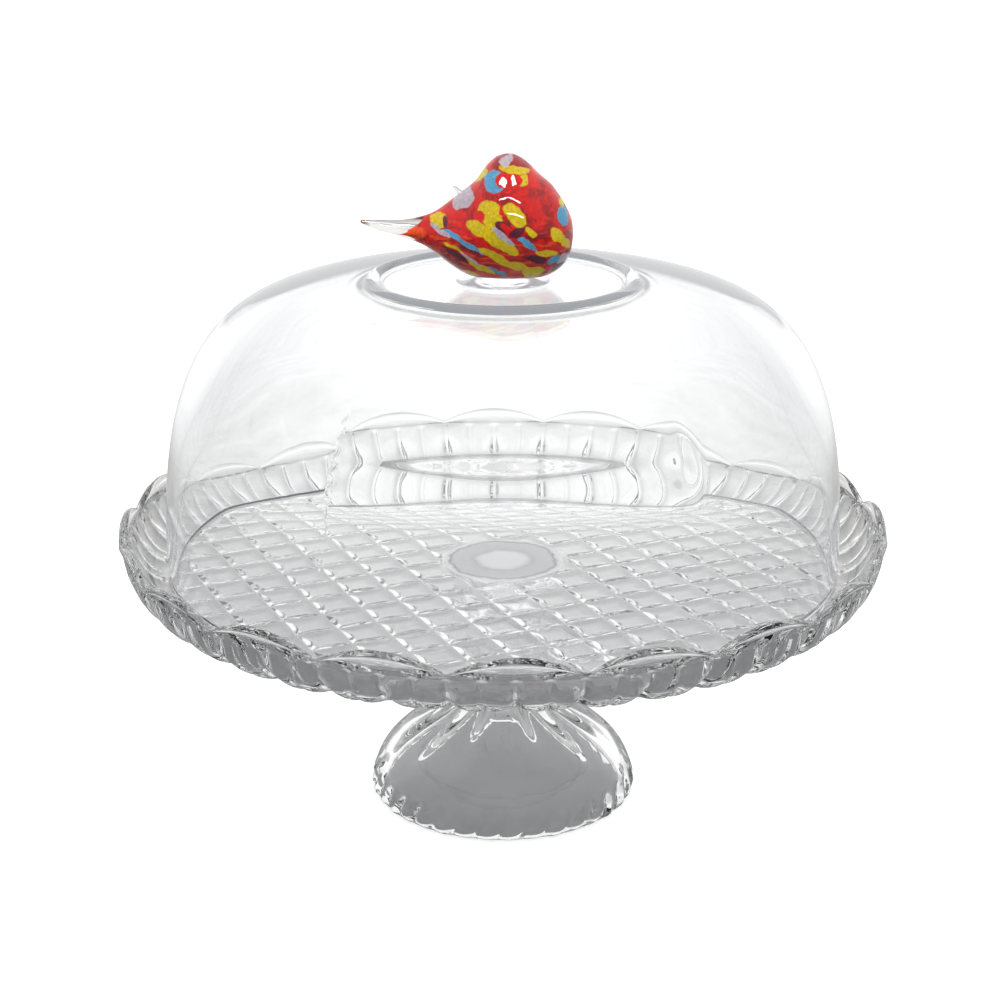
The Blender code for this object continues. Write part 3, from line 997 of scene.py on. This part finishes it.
def painted_floor_stops():
    """Painted light and shade on the floor, dark in front and bright at the back; the darker greys are
    a little blue.
    """
    greys = [(0.30, 0.24), (0.38, 0.25), (0.42, 0.28), (0.47, 0.34)]
    greys += [(0.53, 0.43), (0.62, 0.60), (0.76, 0.94)]
    stops = [(0.0, (0.265, 0.272, 0.28, 1.0))]
    for position, grey in greys:
        blue = smooth(0.55, 0.25, grey)
        color = (grey * (1 - 0.02 * blue), grey * 0.997, grey * (0.972 + 0.06 * blue), 1.0)
        stops.append((position, color))
    return stops + [(1.0, grey_color(1.1))]


def make_floor():
    """A sheet that is near white to the camera, and lights the glass like the photo's backdrop.

    All but the camera's own rays see a painted glow of greys: painted shade in front, at the sides and
    near the stand, and the world's light far away."""
    side = 6.0 / MM
    corners = [(-side, -side, 0), (side, -side, 0), (side, side, 0), (-side, side, 0)]
    floor = object_from("studio_floor", mesh_from("studio_floor", corners, [(0, 1, 2, 3)]))
    floor.location.z = -0.0002
    floor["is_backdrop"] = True
    material, n = new_material("studio_paper")
    place = n.object_place()
    x, y, _ = n.split(place)
    reach = n.vector("LENGTH", place)
    # painted shade in front, brightening to painted light at the back
    depth = n.ramp(n.span(y, -0.6, 0.8, 0.0, 1.0), painted_floor_stops())
    # painted shade towards the sides
    edge = n.span(n.math("ABSOLUTE", x), 0.07, 0.32, 1.0, 0.54)
    # painted shadow close round the stand
    near = n.span(reach, 0.02, 0.10, 0.85, 1.0)
    shaded = n.scaled(depth, n.math("MULTIPLY", near, edge))
    grain = n.noise(place, 26.0, 4.0, 0.6).outputs["Fac"]
    mottled = n.scaled(shaded, n.span(grain, 0.3, 0.7, 0.90, 1.08))
    toward_x, toward_y, _ = n.split(n.vector("NORMALIZE", place))
    behind = n.span(toward_y, -0.55, 0.65, WORLD_FRONT, WORLD_BACK)
    beside = n.span(n.math("ABSOLUTE", toward_x), 0.55, 0.95, 0.0, 1.0)
    wall = n.mix(beside, behind, WORLD_SIDES, "FLOAT")
    far = n.span(reach, 0.7, 2.6, 0.0, 1.0)
    # the floor gives off this painted light and shade instead of being lit
    lit = n.add("ShaderNodeEmission")
    n.fill(lit, Color=n.mix(far, mottled, n.join(wall, wall, wall), "VECTOR"))
    paper = n.add("ShaderNodeBsdfDiffuse")
    n.fill(paper, Color=grey_color(0.9))
    lift = n.add("ShaderNodeEmission")
    n.fill(lift, Color=grey_color(0.66))
    seen = n.add("ShaderNodeAddShader")
    n.feed(seen.inputs[0], paper.outputs["BSDF"])
    n.feed(seen.inputs[1], lift.outputs["Emission"])
    n.finish(n.for_camera(seen.outputs["Shader"], lit.outputs["Emission"]))
    floor.data.materials.append(material)


def make_world():
    """Plain white to the camera; to other rays soft white, dimmer low in front and at the sides."""
    world = bpy.data.worlds.new("studio")
    bpy.context.scene.world = world
    world.use_nodes = True
    n = Nodes(world.node_tree, "ShaderNodeOutputWorld")
    heading = n.add("ShaderNodeTexCoord").outputs["Generated"]
    x, y, z = n.split(heading)
    back = n.span(y, -0.55, 0.65, 0.0, 1.0, "SMOOTHSTEP")
    high = n.span(z, 0.05, 0.75, 0.0, 1.0, "SMOOTHSTEP")
    sides = n.span(n.math("ABSOLUTE", x), 0.55, 0.95, 0.0, 1.0, "SMOOTHSTEP")
    low_ring = n.mix(sides, n.mix(back, WORLD_FRONT, WORLD_BACK, "FLOAT"), WORLD_SIDES, "FLOAT")
    upper = n.mix(back, 0.90, 1.12, "FLOAT")
    lit = n.add("ShaderNodeBackground")
    n.fill(lit, Strength=n.mix(high, low_ring, upper, "FLOAT"), Color=(1.0, 0.998, 0.992, 1.0))
    seen = n.add("ShaderNodeBackground")
    n.fill(seen, Strength=1.02, Color=(1.0, 1.0, 1.0, 1.0))
    n.finish(n.for_camera(seen.outputs["Background"], lit.outputs["Background"]))


def soft_box(name, place, size, power, only):
    """An area lamp turned to the bird, which lights only the given pieces."""
    data = bpy.data.lights.new(name, "AREA")
    data.shape = "RECTANGLE"
    data.size, data.size_y = size
    data.energy = power
    lamp = object_from(name, data)
    lamp.location = place
    lamp.rotation_mode = "QUATERNION"
    lamp.rotation_quaternion = (Vector(LAMP_TARGET) - Vector(place)).to_track_quat("-Z", "Y")
    lit = bpy.data.collections.new(name + "_subjects")
    for piece in only:
        lit.objects.link(piece)
    lamp.light_linking.receiver_collection = lit


def make_camera():
    """Looks down at 18.9 degrees from 0.8 m in front and 0.4 m up, as the photo was taken."""
    data = bpy.data.cameras.new("camera")
    data.sensor_width = 36.0
    data.lens = 2.1274 * data.sensor_width
    data.clip_start = 0.05
    data.clip_end = 50.0
    camera = object_from("camera", data)
    camera.location = (-0.0012, -0.8068, 0.4005)
    camera.rotation_euler = (radians(90.0 - 18.87), 0.0, 0.0)
    bpy.context.scene.camera = camera


# --------------------------------------------------------------------- main


def clothe(piece, material):
    piece.data.materials.clear()
    piece.data.materials.append(material)


def make_pieces():
    """Makes every piece and gives it its material; returns the bird's two pieces."""
    plate = make_plate()
    foot = make_foot()
    dome = make_dome()
    pad = make_pad()
    core, case = make_bird()
    pressed = clear_glass("pressed_clear_glass", (0.985, 0.99, 0.99), 1.5, 45.0, 0.0002, 0.02)
    molded = clear_glass("foot_clear_glass", (0.98, 0.985, 0.985), 1.5, 45.0, 0.0010, 0.04)
    # the last number of the dome's and the worked glass is their painted glow
    blown = clear_glass("dome_clear_glass", (0.992, 0.995, 0.996), 1.5, 9.0, 0.00022, 0.01, 0.034)
    worked = clear_glass("worked_clear_glass", (0.99, 0.99, 0.99), 1.45, 90.0, 0.0002, 0.01, 0.05)
    cased = clear_glass("casing_clear_glass", (0.87, 0.855, 0.84), 1.45, 110.0, 0.00022, 0.01)
    clothe(plate, pressed)
    clothe(foot, molded)
    clothe(dome, blown)
    grind_edge(dome, ground_glass())
    clothe(pad, worked)
    clothe(case, darken_tail(cased))
    clothe(core, art_glass())
    clothe(make_bond(), bond_painted_glow())
    return core, case


def light_bird(bird):
    """Four lamps whose reflections make the bird's highlights."""
    soft_box("key_softbox", (-0.30, -0.34, 1.10), (0.22, 0.16), 8.0, bird)
    soft_box("fill_softbox", (0.22, -0.30, 1.10), (0.20, 0.18), 8.0, bird)
    soft_box("strip_softbox", (0.0, -0.70, 0.98), (0.90, 0.03), 4.5, bird)
    soft_box("slit_softbox", (0.12, -0.88, 0.72), (0.60, 0.014), 1.6, bird)


def set_light_paths(scene):
    """Plain colours, and enough bounces for light to pass through several walls of glass."""
    scene.view_settings.view_transform = "Standard"
    scene.view_settings.look = "None"
    cycles = scene.cycles
    cycles.max_bounces = 28
    cycles.transmission_bounces = 28
    cycles.glossy_bounces = 8
    cycles.diffuse_bounces = 3
    cycles.transparent_max_bounces = 16
    cycles.caustics_reflective = False
    cycles.caustics_refractive = True
    cycles.sample_clamp_indirect = 4.0


def main():
    make_camera()
    bird = make_pieces()
    make_floor()
    make_world()
    light_bird(bird)
    set_light_paths(bpy.context.scene)
    bpy.context.view_layer.update()
    boxes = [[list(corner) for corner in box] for box in (CAD_BOX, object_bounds())]


main()
